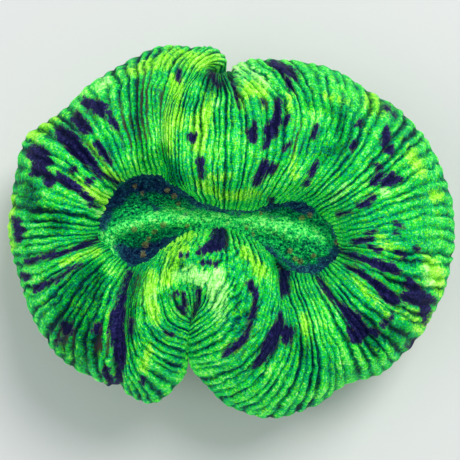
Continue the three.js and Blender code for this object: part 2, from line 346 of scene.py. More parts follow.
def flesh_calm(rib, s):
    """Less relief at the margin and underneath, and least in the folds, where lobes press together."""
    share = np.concatenate([s, np.ones(HEM_ROWS)])[None, :]
    under = np.concatenate([np.zeros(FLESH_ROWS), np.linspace(0, 1, HEM_ROWS)])[None, :]
    in_fold = swell(rib, FRONT_FOLD[0], 5.0, 4) + swell(rib, BACK_FOLD[0], 2.6, 4)
    at_margin = mix(1.0, 0.62, smooth(0.86, 1.0, share)) * mix(1.0, 0.35, smooth(0.4, 0.8, under))
    return at_margin * (1.0 - 0.75 * in_fold[:, None] * smooth(0.84, 1.0, share))


# Folds and creases of the flesh: depth, then a line of (x, y, half width), at the level MARGIN_Z.
CREASES = [
    (0.6, [(-5.6, -12.4, 0.3), (-5.0, -11.2, 0.4), (-4.8, -10.0, 0.35), (-5.1, -8.8, 0.2)]),
    (0.4, [(-8.2, -7.4, 0.2), (-9.1, -9.0, 0.3), (-9.2, -11.4, 0.35), (-8.4, -13.2, 0.3),
           (-7.0, -14.2, 0.3)]),
    (0.4, [(-7.4, -8.9, 0.25), (-8.5, -10.2, 0.3), (-8.1, -12.2, 0.3), (-6.9, -13.2, 0.25)]),
    (1.0, [(-15.2, -6.0, 0.5), (-16.5, -8.6, 0.9), (-17.1, -11.1, 1.1), (-17.4, -14.3, 1.2),
           (-17.1, -17.7, 1.2), (-16.9, -20.6, 1.0), (-16.8, -24.0, 0.8)]),
    (1.0, [(7.7, -5.0, 0.8), (8.6, -9.0, 1.1), (8.9, -13.0, 1.3), (7.8, -17.0, 1.3), (5.5, -20.6, 1.1),
           (2.8, -22.6, 0.8)]),
    (0.9, [(-10.4, 9.2, 0.9), (-11.9, 14.0, 1.2), (-11.6, 19.0, 1.3), (-9.8, 22.2, 1.2), (-7.0, 24.4, 1.0),
           (-4.0, 26.0, 0.7)]),
    (0.8, [(-0.2, 25.4, 0.5), (0.5, 23.5, 0.6), (1.5, 19.5, 0.4)]),
    (0.5, [(-31.2, -4.9, 0.7), (-28.6, -4.1, 0.6), (-24.5, -3.2, 0.5), (-19.8, -1.1, 0.5)]),
    (0.6, [(-26.3, 15.5, 1.0), (-23.5, 12.4, 1.0), (-20.0, 8.7, 0.8), (-16.9, 6.9, 0.5)]),
    (0.5, [(13.0, -7.0, 0.4), (15.8, -10.6, 0.7), (18.6, -13.8, 1.2), (21.5, -17.0, 1.0)]),
    (0.5, [(17.6, -5.6, 0.4), (21.0, -7.4, 0.6), (23.5, -10.0, 0.8), (25.4, -13.8, 0.8)]),
]


def creases(plan):
    """How far the creases sink the flesh at plan points."""
    total = 0.0
    for depth, line in CREASES:
        width = np.mean([point[2] for point in line])
        total = total + depth * smooth(-0.8 * width, width, inside(plan, [line]))
    return total


# ================================================================ markings
# Dark patches of the flesh, each a line of (x, y, half width), at the level MARGIN_Z like RIBS.
DARK = [
    # back left
    [(-22.3, 20.0, 0.5), (-20.5, 19.2, 1.1)],
    [(-23.7, 17.4, 1.0), (-22.6, 15.9, 1.0)],
    [(-26.3, 15.5, 0.9), (-24.5, 13.7, 1.4), (-22.7, 11.7, 0.95), (-21.4, 10.5, 0.5), (-20.0, 8.7, 0.35),
     (-18.2, 7.6, 0.2), (-16.9, 6.9, 0.1)],
    [(-30.9, 12.3, 0.8), (-29.3, 11.8, 1.2), (-29.0, 10.6, 1.0), (-30.3, 8.8, 0.5)],
    [(-29.0, 9.4, 0.7), (-27.7, 7.5, 0.6)],
    [(-26.3, 8.3, 0.45), (-24.7, 7.2, 0.7), (-23.2, 6.2, 0.35)],
    [(-20.7, 13.7, 0.4), (-19.7, 12.1, 0.6), (-18.7, 10.5, 0.4)],
    [(-24.4, 9.2, 0.3), (-24.0, 9.6, 0.3)],
    [(-21.9, 7.6, 0.3), (-21.5, 7.9, 0.2)],
    [(-22.6, 5.4, 0.35), (-21.6, 4.6, 0.25)],
    [(-21.7, 4.0, 0.25), (-20.4, 3.6, 0.15)],
    [(-19.2, 18.4, 0.4), (-17.6, 16.0, 0.35)],
    [(-6.4, 14.8, 0.15), (-5.9, 14.3, 0.35), (-5.5, 14.6, 0.2)],
    [(-4.7, 10.9, 0.3), (-4.4, 8.5, 0.3)],
    [(-3.0, 24.9, 0.3), (-2.7, 23.5, 0.3), (-2.0, 22.7, 0.2), (-1.3, 23.2, 0.15)],
    [(-8.2, 25.2, 0.25), (-8.4, 24.4, 0.1)],
    [(-32.9, 1.6, 0.3), (-32.2, -0.2, 0.55), (-32.4, -1.5, 0.3)],
    # back right
    [(6.6, 26.6, 0.4), (7.5, 25.7, 0.8), (8.8, 24.9, 0.8), (10.0, 24.1, 0.4)],
    [(8.8, 23.6, 0.35), (9.5, 22.3, 0.2)],
    [(3.7, 17.0, 0.4), (3.4, 15.6, 0.8), (3.5, 14.3, 0.5)],
    [(7.3, 20.2, 0.35), (7.1, 17.2, 0.85), (6.4, 15.8, 1.1), (5.7, 14.2, 0.6), (5.2, 12.9, 0.3)],
    [(4.9, 20.1, 0.25), (5.2, 19.4, 0.15)],
    [(5.3, 10.6, 0.45), (4.6, 9.0, 0.75), (3.8, 7.2, 0.35)],
    [(6.6, 10.0, 0.4), (6.1, 9.3, 0.4)],
    [(6.2, 5.0, 0.3), (6.0, 4.4, 0.25)],
    [(8.2, 12.8, 0.45), (9.0, 13.5, 0.3)],
    [(8.7, 17.8, 0.35), (8.6, 16.9, 0.25)],
    [(13.3, 15.9, 0.25), (12.7, 14.5, 0.5)],
    [(13.1, 10.4, 0.3), (12.3, 9.0, 0.4)],
    [(11.6, 7.7, 0.25), (11.3, 7.1, 0.15)],
    [(20.1, 17.1, 0.3), (19.5, 16.4, 0.2)],
    [(19.3, 13.7, 0.2), (18.7, 13.0, 0.4)],
    [(24.0, 16.0, 0.3), (23.8, 14.2, 0.7), (23.5, 13.2, 0.4)],
    [(24.5, 12.9, 0.35), (24.3, 12.2, 0.4)],
    [(21.7, 10.4, 0.2), (22.4, 9.9, 0.5), (23.0, 9.8, 0.25)],
    [(23.6, 7.2, 0.35), (24.8, 7.9, 0.75), (26.1, 7.8, 0.3)],
    [(22.9, 8.5, 0.35), (21.8, 7.4, 0.3)],
    [(21.6, 5.0, 0.45), (20.9, 4.6, 0.3)],
    [(20.9, 4.1, 0.4), (19.5, 3.8, 0.35)],
    [(18.4, 2.8, 0.2), (16.5, 2.4, 0.25)],
    [(24.2, 19.2, 0.4), (25.2, 18.2, 0.4)],
    [(0.2, 24.9, 0.15), (0.8, 22.6, 0.25), (1.4, 19.6, 0.2)],
    # front right
    [(18.9, -1.7, 0.35), (21.5, -1.5, 0.4)],
    [(20.7, -0.6, 0.2), (22.2, -0.2, 0.3)],
    [(24.8, 1.0, 0.3), (26.0, 0.5, 0.3)],
    [(24.9, -0.4, 0.35), (25.6, -0.7, 0.2)],
    [(25.4, -3.6, 0.4), (26.4, -4.0, 0.4)],
    [(28.0, -2.7, 0.4), (28.6, -3.0, 0.2)],
    [(21.2, -2.7, 0.25), (22.6, -3.2, 0.2)],
    [(16.6, -3.3, 0.2), (18.2, -3.9, 0.4), (20.0, -4.5, 0.5), (21.7, -5.0, 0.55), (23.1, -5.6, 0.7),
     (24.5, -5.9, 0.6), (25.5, -6.6, 0.2)],
    [(17.6, -5.6, 0.3), (19.3, -6.3, 0.45), (21.0, -7.4, 0.45), (22.4, -8.8, 0.6), (23.5, -10.0, 0.7),
     (24.9, -10.8, 0.5)],
    [(26.7, -7.9, 0.5), (27.7, -9.2, 1.0), (28.6, -10.4, 1.0), (30.2, -10.8, 0.5)],
    [(26.2, -10.2, 0.7), (27.6, -10.6, 0.9)],
    [(29.1, -12.0, 0.8), (28.9, -13.8, 0.2)],
    [(24.3, -12.8, 0.25), (23.9, -13.7, 0.3), (22.6, -14.4, 0.3)],
    [(13.0, -7.0, 0.2), (14.4, -8.8, 0.35), (15.8, -10.6, 0.3), (17.2, -12.1, 0.65), (18.6, -13.8, 1.15),
     (19.5, -15.2, 1.0)],
    [(18.0, -15.3, 0.5), (18.6, -16.5, 0.5)],
    [(19.4, -16.4, 0.6), (21.0, -15.6, 0.4), (21.9, -16.0, 0.4)],
    [(8.6, -5.6, 0.45), (8.4, -7.3, 0.4), (8.6, -9.1, 0.4), (8.3, -9.9, 0.15)],
    [(7.4, -12.7, 0.4), (7.6, -14.0, 0.8), (7.0, -15.4, 1.05), (6.0, -17.6, 1.15), (4.6, -20.0, 0.9),
     (3.3, -21.3, 0.3)],
    [(8.6, -15.4, 0.8), (8.3, -17.0, 0.7)],
    [(2.8, -8.4, 0.5), (3.7, -10.2, 0.35), (3.3, -13.1, 0.4), (2.3, -15.9, 0.45), (0.8, -17.7, 0.45),
     (-0.9, -19.0, 0.2)],
    [(26.4, -17.6, 0.4), (27.5, -17.0, 0.4)],
    # front left
    [(-2.4, 0.4, 0.35), (-1.7, -0.6, 0.9), (-1.9, -2.0, 1.1), (-3.4, -2.9, 0.6), (-4.8, -3.5, 0.25)],
    [(-4.6, -5.0, 0.1), (-3.6, -5.0, 0.2), (-2.4, -5.2, 0.1)],
    [(-7.6, -4.1, 0.1), (-6.6, -4.0, 0.15)],
    [(-8.8, -10.2, 0.1), (-8.3, -9.7, 0.15)],
    [(-7.2, -9.8, 0.1), (-6.9, -10.9, 0.1), (-7.5, -11.9, 0.25), (-7.0, -12.5, 0.1)],
    [(-5.0, -9.2, 0.3), (-4.9, -10.7, 0.2), (-5.5, -12.8, 0.15), (-6.2, -13.8, 0.15)],
    [(-9.9, -15.5, 0.3), (-9.0, -15.7, 0.3)],
    [(-15.3, -6.1, 0.25), (-16.5, -8.6, 0.35), (-17.1, -11.1, 0.6), (-17.4, -14.3, 0.8),
     (-17.1, -17.7, 0.8), (-16.9, -20.6, 0.6), (-17.0, -23.2, 0.45)],
    [(-18.7, -21.1, 0.45), (-17.9, -23.2, 0.35)],
    [(-14.9, -13.8, 0.2), (-15.1, -15.6, 0.25)],
    [(-20.2, -14.6, 0.25), (-20.3, -15.4, 0.3)],
    [(-24.9, -14.6, 0.7), (-24.7, -15.2, 0.75)],
    [(-13.0, -22.5, 0.25), (-13.2, -23.3, 0.25)],
    [(-31.2, -4.9, 0.3), (-28.6, -4.1, 0.35), (-24.5, -3.2, 0.25), (-21.8, -2.1, 0.35), (-19.8, -1.1, 0.3)],
    [(-29.5, -9.0, 0.3), (-26.1, -7.4, 0.35), (-24.8, -6.3, 0.3), (-22.9, -5.4, 0.2)],
    [(-26.2, -17.2, 0.25), (-25.6, -16.7, 0.25)],
    [(-31.6, -7.0, 0.35), (-30.9, -7.2, 0.3)],
]
# Places where the green turns to lime, pales to mint (partly painted highlight on the lobe tops), darkens as
# painted shade, or has rusty grooves.
LIME = [
    [(-33.7, 5.0, 0.9), (-33.9, 1.0, 0.7), (-33.3, -2.6, 0.6)], [(-31.0, 14.9, 0.9), (-27.0, 17.6, 0.9)],
    [(-20.0, 9.6, 0.5), (-17.0, 7.4, 0.7), (-23.0, 14.6, 0.4)], [(-24.0, 7.8, 0.6), (-18.5, 3.6, 1.0)],
    [(-9.4, 23.0, 0.6), (-9.9, 17.0, 0.8), (-9.2, 12.0, 0.4)], [(-5.4, 17.5, 0.9), (-5.0, 13.0, 0.7)],
    [(-5.0, 7.5, 0.7), (-1.0, 5.5, 1.0), (4.0, 5.6, 1.0)], [(9.6, 8.5, 0.5), (9.8, 14.0, 0.3)],
    [(-15.5, 25.6, 1.2), (-9.0, 27.4, 1.6), (-3.0, 26.8, 1.0)], [(-8.6, 24.0, 1.2), (-8.2, 17.0, 1.0)],
    [(-3.4, 21.0, 1.3), (-4.6, 15.0, 1.0)], [(2.4, 21.5, 1.2), (4.6, 23.4, 1.2), (5.0, 18.8, 0.5)],
    [(21.5, 20.6, 1.4), (24.0, 18.2, 0.7)], [(-3.0, 8.4, 0.7), (-0.6, 8.0, 0.8)],
    [(-7.6, -3.0, 1.2), (-9.6, -7.6, 1.0)],
    [(0.9, 22.8, 0.8), (2.0, 19.6, 0.8)], [(9.0, 21.0, 0.5), (8.6, 18.0, 0.3)],
    [(14.8, 21.0, 0.6), (18.0, 20.0, 0.6)], [(27.8, 12.5, 1.2), (29.5, 9.0, 0.8)], [(31.5, 5.5, 1.2)],
    [(22.5, -0.9, 0.9), (24.0, -2.4, 0.9), (22.0, -3.0, 0.4)], [(27.6, -13.0, 1.2), (28.0, -15.2, 0.6)],
    [(18.3, -7.0, 0.5), (21.0, -10.0, 0.6), (23.6, -13.0, 0.5)], [(31.5, -13.0, 0.4), (30.5, -15.0, 0.4)],
    [(29.8, -4.2, 0.9), (30.8, -7.4, 1.5), (31.6, -9.4, 0.8)], [(25.6, -12.4, 0.8), (29.0, -13.2, 1.3)],
    [(11.0, -13.0, 0.4), (11.5, -18.0, 0.3)], [(-12.0, -6.6, 0.5), (-12.4, -9.5, 0.9), (-11.0, -14.4, 0.5)],
    [(-12.0, -17.0, 0.5), (-13.2, -21.0, 0.6)], [(1.5, -16.8, 0.7), (4.0, -14.5, 0.4)],
    [(2.0, -3.5, 0.8), (4.5, -6.5, 0.8)], [(-25.5, -5.0, 0.6), (-20.5, -3.2, 0.7)],
    [(-6.4, -0.8, 1.0), (-9.4, -3.6, 0.9)],
]
# Pale mint tissue, partly painted highlight on the tops of the lobes.
MINT_AND_HIGHLIGHT = [
    [(-1.8, -6.6, 0.8), (-2.2, -8.6, 1.6), (-2.0, -11.6, 1.7), (-1.0, -13.8, 1.0)],
    [(-6.2, -6.6, 1.6), (-8.2, -7.0, 0.8)], [(-4.6, -7.4, 1.4)],
    [(1.2, 25.3, 1.2), (3.4, 24.8, 1.2), (5.6, 23.0, 0.7)], [(-2.2, 19.8, 0.7)],
    [(29.2, -6.2, 0.8), (30.0, -8.4, 0.7)], [(17.8, 6.7, 0.6), (15.6, 4.6, 0.5)],
    [(23.6, 5.8, 0.7)], [(-19.8, 23.4, 0.9)], [(14.9, -9.6, 0.4), (16.4, -12.6, 0.5)], [(16.4, -20.5, 0.5)],
    [(-23.0, 4.6, 0.4), (-19.4, 2.2, 0.5)], [(14.0, -8.9, 0.5)], [(-11.8, -10.4, 0.5)],
]
# Painted shade: darker, less blue green on flanks turned from the light and in hollows.
PAINTED_SHADE = [
    [(-2.4, 23.6, 1.9)], [(-1.0, 24.0, 0.8)], [(-21.4, -7.4, 2.2), (-23.0, -12.0, 3.4), (-22.6, -17.0, 3.4)],
    [(-14.5, -8.0, 0.8), (-15.4, -14.0, 0.8), (-14.8, -19.0, 0.3)], [(-7.6, -11.0, 0.2)],
    [(-13.5, 11.0, 0.4), (-14.5, 17.0, 0.5), (-14.5, 23.0, 0.2)], [(7.9, -8.0, 0.8), (7.4, -4.8, 0.8)],
    [(-8.5, 8.0, 0.8), (-10.5, 12.0, 0.8)], [(20.5, -13.5, 0.5), (21.5, -18.0, 1.0)],
    [(24.0, -16.0, 0.9), (25.8, -15.0, 0.6)], [(-28.0, 3.0, 1.2)], [(-26.5, 1.0, 1.6)],
    [(12.0, 20.0, 0.3), (17.0, 18.0, 0.4), (17.0, 13.0, 0.6), (14.4, 11.7, 0.8)],
    [(10.0, -15.0, 0.4), (10.8, -19.0, 0.6)], [(4.4, -17.6, 0.3)],
    [(23.5, -7.6, 0.8), (25.5, -8.4, 0.9)], [(-31.8, 7.0, 1.2), (-30.0, 3.0, 1.0)],
]
RUSTY = [
    [(-21.0, 20.0, 0.6), (-17.0, 20.0, 0.8), (-16.0, 13.0, 0.6)], [(-13.4, 25.0, 0.8), (-13.2, 15.0, 0.9)],
    [(-11.0, 22.0, 0.6), (-10.6, 12.0, 0.6)], [(-23.5, 19.0, 0.8), (-22.0, 17.0, 0.5)],
    [(-13.8, -7.0, 0.5), (-14.2, -11.0, 0.6)], [(-17.0, -12.0, 0.8), (-19.0, -18.0, 1.0)],
    [(9.5, 12.0, 0.5), (10.5, 16.0, 0.7)], [(12.0, 9.0, 0.6)], [(28.8, -14.8, 0.4)], [(-25.0, -16.6, 1.2)],
    [(5.8, 20.0, 0.6)], [(1.0, 22.0, 0.4)], [(2.4, -17.0, 0.5), (0.6, -19.2, 0.4)], [(18.0, 21.5, 0.6)],
]
# The valley floor: navy where it lies deep, part its own colour and part painted shadow under the overhanging
# ridge ends, its pale midrib, and the rusty knobs beside it.
NAVY_AND_SHADOW = [
    [(-19.6, 0.6, 0.7), (-18.6, 4.2, 1.1), (-15.6, 6.8, 1.3), (-12.2, 8.0, 1.9), (-9.0, 6.4, 1.1),
     (-5.8, 4.6, 0.4)],
    [(-16.6, -2.8, 0.6), (-15.2, -4.2, 1.4), (-13.0, -3.8, 1.2), (-10.6, -2.4, 0.6), (-8.6, -1.0, 0.2)],
    [(16.0, 0.4, 0.5), (16.4, -2.6, 0.8), (15.4, -4.8, 1.0), (12.8, -6.2, 0.9), (10.2, -6.0, 0.6),
     (8.0, -4.8, 0.2), (5.4, -3.0, 0.2), (2.6, -0.9, 0.1)],
    [(-6.2, 4.6, 0.4), (-3.0, 3.4, 0.45), (0.6, 2.9, 0.45), (4.0, 3.3, 0.45), (6.4, 4.1, 0.5),
     (8.8, 4.2, 0.8), (12.4, 3.0, 0.6)],
    [(-13.0, 4.6, 0.3), (-11.6, 3.6, 0.3)],
]
MIDRIB = [
    [(-19.5, -1.0, 0.5), (-17.1, 0.1, 0.4), (-13.4, 1.3, 0.6), (-9.8, 2.3, 1.2), (-6.1, 2.2, 1.1),
     (-1.5, 1.9, 0.9), (4.0, 1.6, 1.2), (8.0, 0.6, 1.2), (12.0, -0.2, 0.7), (14.0, -1.4, 0.2)],
    [(-19.0, -2.2, 0.8), (-17.8, -3.6, 0.5)],
]
KNOBS = [
    (-9.8, 6.1), (-8.8, 5.2), (-8.1, 4.2), (-13.6, 5.8), (-14.8, 6.9), (-11.7, -0.3), (-12.6, -1.2),
    (-13.0, -2.2), (-13.4, -3.7), (-10.4, 0.9), (-14.8, 0.2), (-6.7, 0.6), (2.4, 0.3), (3.4, -0.6),
    (9.0, -3.2), (9.8, -4.4), (10.6, -4.9), (10.8, 1.9), (12.0, 2.3), (16.2, -1.9), (4.6, 2.6), (12.6, -4.0),
]
KNOB_RADIUS = 0.38
KNOB_HEIGHT = 0.4
KNOB_SIZES = (0.75, 1.35)        # smallest and largest, as shares of KNOB_RADIUS
FAR_OUTSIDE = -9.0


def inside(plan, lines):
    """How deep plan points lie in the nearest of the lines' strips, in mm: negative outside."""
    deepest = np.full(plan.shape[:-1], FAR_OUTSIDE)
    for line in lines:
        line = np.array(line if len(line) > 1 else line * 2, float)
        for start, end in zip(line[:-1], line[1:]):
            run = end[:2] - start[:2]
            t = np.clip((plan - start[:2]) @ run / max(run @ run, 1e-9), 0, 1)
            away = np.linalg.norm(plan - start[:2] - t[..., None] * run, axis=-1)
            deepest = np.maximum(deepest, mix(start[2], end[2], t) - away)
    return deepest


# ================================================================ meshes
def ring_faces(columns, rows, closed=False):
    """Quads of a grid that goes all round the coral, as indices column * rows + row."""
    column, row = np.meshgrid(np.arange(columns), np.arange(rows if closed else rows - 1), indexing="ij")
    after, above = (column + 1) % columns, (row + 1) % rows
    quads = [column * rows + row, after * rows + row, after * rows + above, column * rows + above]
    return np.stack(quads, axis=-1).reshape(-1, 4)


def weld(points, faces):
    """Merges points in the same place and drops the corners and faces that closed up."""
    rounded = np.round(points, WELD_DECIMALS)
    _, first, merged = np.unique(rounded, axis=0, return_index=True, return_inverse=True)
    polygons = []
    for face in merged.reshape(-1)[faces]:
        kept = [int(v) for k, v in enumerate(face) if v != face[k - 1]]
        if len(set(kept)) > 2:
            polygons.append(kept)
    return first, polygons


def build(name, points, faces, attributes, uv=None, normals=None):
    """A smooth-shaded mesh object from points in millimetres."""
    mesh = bpy.data.meshes.new(name)
    mesh.from_pydata((points * MM).tolist(), [], [list(face) for face in faces])
    for key, values in attributes.items():
        layer = mesh.attributes.new(key, "FLOAT", "POINT")
        layer.data.foreach_set("value", np.asarray(values, np.float32).reshape(-1))
    if uv is not None:
        layer = mesh.uv_layers.new(name="flow")
        layer.data.foreach_set("uv", uv.astype(np.float32).reshape(-1))
    mesh.shade_smooth()
    if normals is not None:
        mesh.normals_split_custom_set_from_vertices(normals.tolist())
    piece = bpy.data.objects.new(name, mesh)
    bpy.context.scene.collection.objects.link(piece)
    return piece


def flow_uv(lengths, faces):
    """UV of each face corner: ridges round the coral, and millimetres along the ridge."""
    columns, rows = lengths.shape
    column, row = faces // rows, faces % rows
    column = np.where((column == 0) & (faces[:, :1] // rows == columns - 1), columns, column)
    return np.stack([column / COLUMNS_PER_RIDGE, lengths[column % columns, row]], axis=-1)


def run_length(points):
    steps = np.linalg.norm(np.diff(points, axis=1), axis=-1)
    return np.concatenate([np.zeros((len(points), 1)), np.cumsum(steps, axis=1)], axis=1)


def closed_strip(name, outer, inner, values, normals, lengths):
    """A ring with a visible outer face of many rows and a hidden inner face of few."""
    grid = np.concatenate([outer, inner], axis=1)
    columns, rows = grid.shape[:2]
    hidden = inner.shape[1]
    pad = lambda a, fill: np.concatenate([a, np.full((columns, hidden), fill)], axis=1)
    attributes = {key: pad(value, 0.0) for key, value in values.items()}
    inner_normals = np.broadcast_to([0.0, 0.0, -1.0], inner.shape)
    faces = ring_faces(columns, rows, closed=True)
    all_lengths = np.concatenate([lengths, np.zeros((columns, hidden))], axis=1)
    all_normals = np.concatenate([normals, inner_normals], axis=1).reshape(-1, 3)
    return build(name, grid.reshape(-1, 3), faces, attributes, flow_uv(all_lengths, faces), all_normals)


# Hidden inner faces of the flesh: s along the rib and mm over the margin or the valley border, and
# for the hem the share of the way in to the foot and mm over the margin.
INNER_MARGIN, INNER_BORDER, INNER_HEM = (0.9, 0.4), (0.012, -2.6), (0.14, -0.6)
FADE = 2.5                       # mean mm by which dark patches have shrunk half way down the hem


def flesh_marks(plan, under, level, flow):
    """The markings as values at the flesh's points, for its material."""
    fading = FADE * smooth(0.02, 0.5, under) * (1 + 0.8 * noise(flow / (2.0, 1e3, 1), 1.0, 61))
    return {
        "ridge": level,
        "dark": np.clip(inside(plan, DARK) - fading, -2, 2),
        "lime": smooth(-1.0, 0.9, inside(plan, LIME)),
        # The mint places are partly painted highlight; the shaded places are painted shade.
        "mint": smooth(-1.0, 0.9, inside(plan, MINT_AND_HIGHLIGHT)),
        "shade": smooth(-1.4, 1.0, inside(plan, PAINTED_SHADE)),
        "rusty": smooth(-0.9, 0.6, inside(plan, RUSTY)),
        "under": np.broadcast_to(under, level.shape),
    }


def make_flesh():
    """The ribbed flesh over the top, and its hem round the margin and back underneath."""
    rib = FRONT_LOBE + np.arange(RIDGES * COLUMNS_PER_RIDGE) / (RIDGES_PER_RIB * COLUMNS_PER_RIDGE)
    s, plan_top, top = flesh_grid(rib)
    smooth_skin = np.concatenate([top, hem_grid(rib)], axis=1)
    plan = np.concatenate([plan_top, np.repeat(plan_top[:, -1:], HEM_ROWS, axis=1)], axis=1)
    lengths = run_length(smooth_skin)
    relief, level, flow = flesh_relief(rib, s, smooth_skin, plan, lengths)
    skin = smooth_skin + grid_normals(smooth_skin) * relief[..., None]
    normals = grid_normals(skin)
    under = np.concatenate([np.zeros(FLESH_ROWS), np.linspace(0, 1, HEM_ROWS)])
    marks = flesh_marks(plan, under, level, flow)
    last = FLESH_ROWS - 1
    cut = lambda grid: (grid[:, :FLESH_ROWS], grid[:, last:])
    (skin_top, skin_hem), (n_top, n_hem), (l_top, l_hem) = cut(skin), cut(normals), cut(lengths)
    parts = {key: cut(value) for key, value in marks.items()}
    inner_top = np.stack([
        lift(rib_plan(rib, np.array([INNER_MARGIN[0]])), margin_z(rib)[:, None] + INNER_MARGIN[1])[:, 0],
        lift(rib_plan(rib, np.array([INNER_BORDER[0]])),
             np.full((len(rib), 1), BORDER_Z + INNER_BORDER[1]))[:, 0],
    ], axis=1)
    inner_hem = under_points(rib, np.array([INNER_HEM[0]]), margin_z(rib)[:, None] + INNER_HEM[1])
    mantle = closed_strip("mantle", skin_top, inner_top,
                          {key: value[0] for key, value in parts.items()}, n_top, l_top)
    hem_piece = closed_strip("mantle_hem", skin_hem, inner_hem,
                             {key: value[1] for key, value in parts.items()}, n_hem, l_hem)
    return mantle, hem_piece


DISC_COLUMNS_PER_RIB = 16
DISC_ROWS = 27
DISC_TUCK = 0.05                 # s at which its hidden sides stand, under the ends of the ridges
DISC_SIDES = (0.9, 6.0)          # how far below the valley border its hidden sides start and end,
DISC_BOTTOM = 7.0                # and its hidden bottom lies
PEAK_OF_1 = 27 / 4               # brings the peak of t * (1 - t) ** 2 to 1


def make_disc():
    """The valley floor: granular flesh, tucked under the ridge ends and closed underneath."""
    rib = np.arange(RIB_COUNT * DISC_COLUMNS_PER_RIB) / DISC_COLUMNS_PER_RIB
    near = rib_plan(rib, np.array([0.0]))
    far = rib_plan(np.mod(PAIR_SUM - rib, RIB_COUNT), np.array([0.0]))
    half_width = 0.5 * np.linalg.norm(far - near, axis=-1)
    room = 1 - np.exp(-((half_width / NARROW) ** 2))
    t = np.linspace(1, 0, DISC_ROWS)[None, :]
    plan = mix(near, far, t[..., None] / 2)
    depth = np.interp(rib, TRENCHES[:, 0], TRENCHES[:, 1])[:, None]
    z = BORDER_Z + room * (MIDRIB_RISE * t * (2 - t) - depth * PEAK_OF_1 * t * (1 - t) ** 2)
    rise = smooth(-1.4, 0.6, inside(plan, MIDRIB))
    knobs = np.array(KNOBS)
    sizes = np.random.default_rng(SEED).uniform(*KNOB_SIZES, len(knobs))
    away = (np.linalg.norm(plan[:, :, None, :] - knobs, axis=-1) / sizes).min(axis=-1)
    knob = smooth(1.6 * KNOB_RADIUS, 0.3 * KNOB_RADIUS, away)
    z = z + 0.6 * room * (rise - 0.5) * smooth(0, 0.3, t) + KNOB_HEIGHT * knob
    floor = lift(plan, z)
    level = np.ones((len(rib), 1))
    tucked = rib_plan(rib, np.array([DISC_TUCK]))
    sides = [lift(tucked, level * (BORDER_Z - drop)) for drop in DISC_SIDES]
    bottom = lift(plan[:, :1], level * (BORDER_Z - DISC_BOTTOM))
    normal = grid_normals(floor)
    normal[:, 0] = (0, 0, 1)
    bumps = 0.19 * noise(floor, 0.6, 41) + 0.12 * noise(floor, 0.32, 42) + 0.3 * noise(floor, 2.2, 43)
    floor = floor + normal * (bumps * smooth(0, 0.2, room))[..., None]
    grid = np.concatenate([floor, *sides, bottom], axis=1)
    wide = lambda a: np.concatenate([a, np.repeat(a[:, -1:], 3, axis=1)], axis=1).reshape(-1)
    points = grid.reshape(-1, 3)
    first, faces = weld(points, ring_faces(*grid.shape[:2]))
    values = {
        # The navy marks are part the floor's own colour and part painted shadow under the ridge ends.
        "navy_and_shadow": wide(smooth(-0.9, 0.7, inside(plan, NAVY_AND_SHADOW))),
        "pale": wide(smooth(-1.4, 0.8, inside(plan, MIDRIB))),
        "knob": wide(smooth(1.5 * KNOB_RADIUS, 0.7 * KNOB_RADIUS, away)),
        # Painted shade: how far the floor sinks below the valley border, used to darken it.
        "deep": wide(np.clip((BORDER_Z - z) / 3.0, 0, 1)),
    }
    return build("oral_disc", points[first], faces, {key: v[first] for key, v in values.items()})


COSTAE = 118
COLUMNS_PER_COSTA = 8
STUB_ROWS = 34
# The stub's side, from under the flesh down to the foot: share of the way in to the foot, height.
STUB_INWARD = [0.3, 0.40, 0.44, 0.62, 0.84, 0.985, 1.0]
STUB_HEIGHT = [13.0, 12.0, 9.6, 5.2, 2.3, 0.35, 0.0]
STUB_TOP = 14.0                  # hidden in the flesh
FOOT_RINGS = (0.93, 0.7, 0.35)   # rows of the flat cut, as shares of its outline


def make_skeleton():
    """The stony stub: upright costae that fade into the flat cut at the foot."""
    columns = COSTAE * COLUMNS_PER_COSTA
    rib = np.arange(columns) * RIB_COUNT / columns
    share = np.linspace(0, 1, len(STUB_INWARD))

    def path(t):
        height = np.interp(t, share, STUB_HEIGHT)[None, :]
        return under_points(rib, np.interp(t, share, STUB_INWARD), height)

    side = path(even_steps(path(np.linspace(0, 1, FINE_STEPS)), STUB_ROWS))
    place = np.mod(np.arange(columns) / COLUMNS_PER_COSTA, 1.0)[:, None]
    rng = np.random.default_rng(SEED + 1)
    strength = np.repeat(rng.uniform(0.5, 1.1, COSTAE), COLUMNS_PER_COSTA)[:, None]
    level = ridge_profile(place, 1.3)
    relief = 0.45 * strength * (level - 0.6) + 0.3 * fractal(side, 2.6, 51) + 0.13 * noise(side, 0.5, 55)
    normal = grid_normals(side)
    normal[..., 2] *= smooth(0.0, 3.0, side[..., 2])
    side = side + normal * relief[..., None]
    side[:, -1, 2] = 0.0
    side[..., 2] = np.maximum(side[..., 2], 0.0)
    middle = np.zeros((columns, 1, 3))
    rings = [side[:, -1:] * k for k in FOOT_RINGS]
    grid = np.concatenate([middle + (0, 0, STUB_TOP), side, *rings, middle], axis=1)
    points = grid.reshape(-1, 3)
    first, faces = weld(points, ring_faces(*grid.shape[:2]))
    after = len(rings) + 1
    costa = np.concatenate([level, np.repeat(level, STUB_ROWS + after, axis=1)], axis=1).reshape(-1)
    return build("skeleton", points[first], faces, {"ridge": costa[first]})


# ================================================================ materials
def rgb(red, green, blue):
    """A colour named in 0-255 screen values, as the linear values that shaders take."""
    linear = [((v / 255 + 0.055) / 1.055) ** 2.4 if v > 10 else v / 255 / 12.92 for v in (red, green, blue)]
    return (*linear, 1.0)


